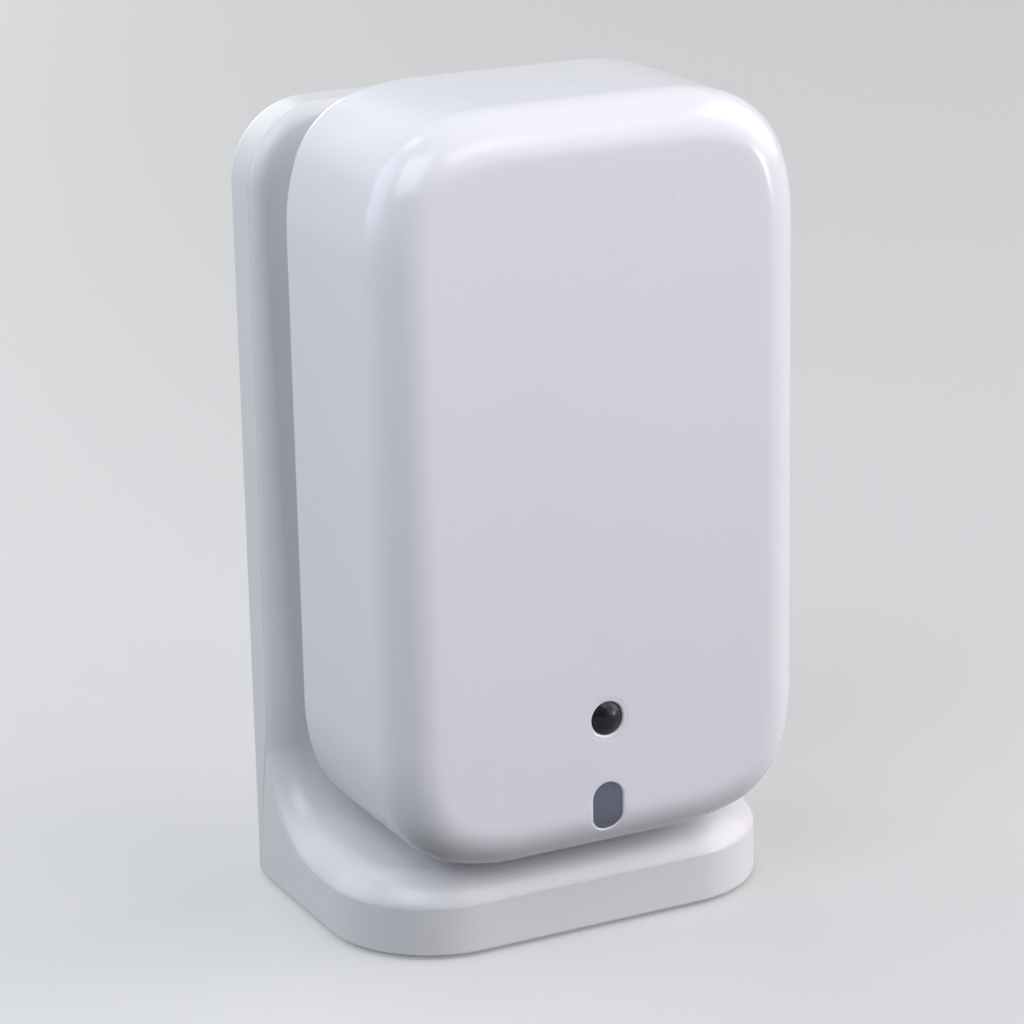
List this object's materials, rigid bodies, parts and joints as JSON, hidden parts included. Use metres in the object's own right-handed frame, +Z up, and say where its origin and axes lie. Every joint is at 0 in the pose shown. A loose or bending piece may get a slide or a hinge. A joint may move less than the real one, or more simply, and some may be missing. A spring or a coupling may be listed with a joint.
{
  "type": "presence sensor",
  "caption": "Upright rounded presence sensor docked by magnets on a tilting puck in front of an L-shaped stand with a weighted foot.",
  "frame": {"origin": "on the floor, in the middle of the object's width and depth", "axes": "+X to the right seen from the front, +Y backwards, +Z up"},
  "size_m": [0.0502, 0.0364, 0.0901],
  "materials": {
    "shell_white": "glossy white moulding",
    "button_white": "satin white moulding",
    "stand_white": "glossy white moulding",
    "base_grey": "fine spark texture",
    "silicone_grey": "matt silicone",
    "screw_steel": "zinc plated",
    "bracket_steel": "brushed",
    "washer_polymer": "smooth",
    "magnet_nickel": "nickel plated",
    "lens_black": "polished",
    "window_grey": "translucent smoke grey",
    "shroud_black": "matt foam rubber",
    "board_green": "solder mask",
    "chip_black": "moulded epoxy",
    "led_white": "moulded",
    "copper": "gold plated",
    "shield_tin": "tin plated",
    "cell_jacket": "printed jacket, left plain",
    "contact_nickel": "nickel plated"
  },
  "bodies": {
    "stand": {"stand_shell": "stand_white", "stand_back_cover": "stand_white", "back_cover_screws": "screw_steel", "foot_ballast": "bracket_steel", "foot_base_cover": "base_grey", "foot_base_screws": "screw_steel", "non_slip_pad": "silicone_grey", "hinge_bracket": "bracket_steel", "bracket_screws": "screw_steel", "hinge_pin": "screw_steel", "hinge_washers": "washer_polymer", "hinge_circlips": "screw_steel"},
    "dock": {"dock_puck": "base_grey", "dock_magnets": "magnet_nickel", "dock_grip_pad": "silicone_grey"},
    "sensor": {"front_shell": "shell_white", "rear_cover": "shell_white", "case_screws": "screw_steel", "dock_steel_plate": "bracket_steel", "light_sensor_lens": "lens_black", "lens_bezel": "shell_white", "light_shroud": "shroud_black", "light_sensor_chip": "chip_black", "status_window": "window_grey", "status_led": "led_white", "main_board": "board_green", "board_screws": "screw_steel", "board_capacitors": "chip_black", "radar_board": "board_green", "radar_chip": "chip_black", "radar_antenna_patches": "copper", "radar_headers": "chip_black", "wireless_module": "board_green", "wireless_shield": "shield_tin", "tact_switch": "chip_black", "battery_cell_left": "cell_jacket", "battery_cell_right": "cell_jacket", "battery_bridge_contact": "contact_nickel", "battery_spring_contact": "contact_nickel", "battery_flat_contact": "contact_nickel"},
    "battery_door": {"battery_door": "shell_white", "door_foam_pad": "shroud_black"},
    "pair_button": {"pair_button": "button_white", "switch_plunger": "led_white"}
  },
  "joints": [
    {"name": "tilt", "type": "hinge", "parent": "stand", "child": "dock", "pos_m": [0, 0.01018, 0.0777], "axis": [-1, 0, 0], "range_deg": [0, 15]},
    {"name": "sensor_pull_off", "type": "slide", "parent": "dock", "child": "sensor", "axis": [0, -1, 0], "range_m": [0, 0.015]},
    {"name": "battery_door_lift", "type": "slide", "parent": "sensor", "child": "battery_door", "axis": [0, 1, 0], "range_m": [0, 0.004]},
    {"name": "pair_button_press", "type": "slide", "parent": "sensor", "child": "pair_button", "axis": [0, -1, 0], "range_m": [0, 0.0004], "stiffness_N_per_m": 1000}
  ]
}
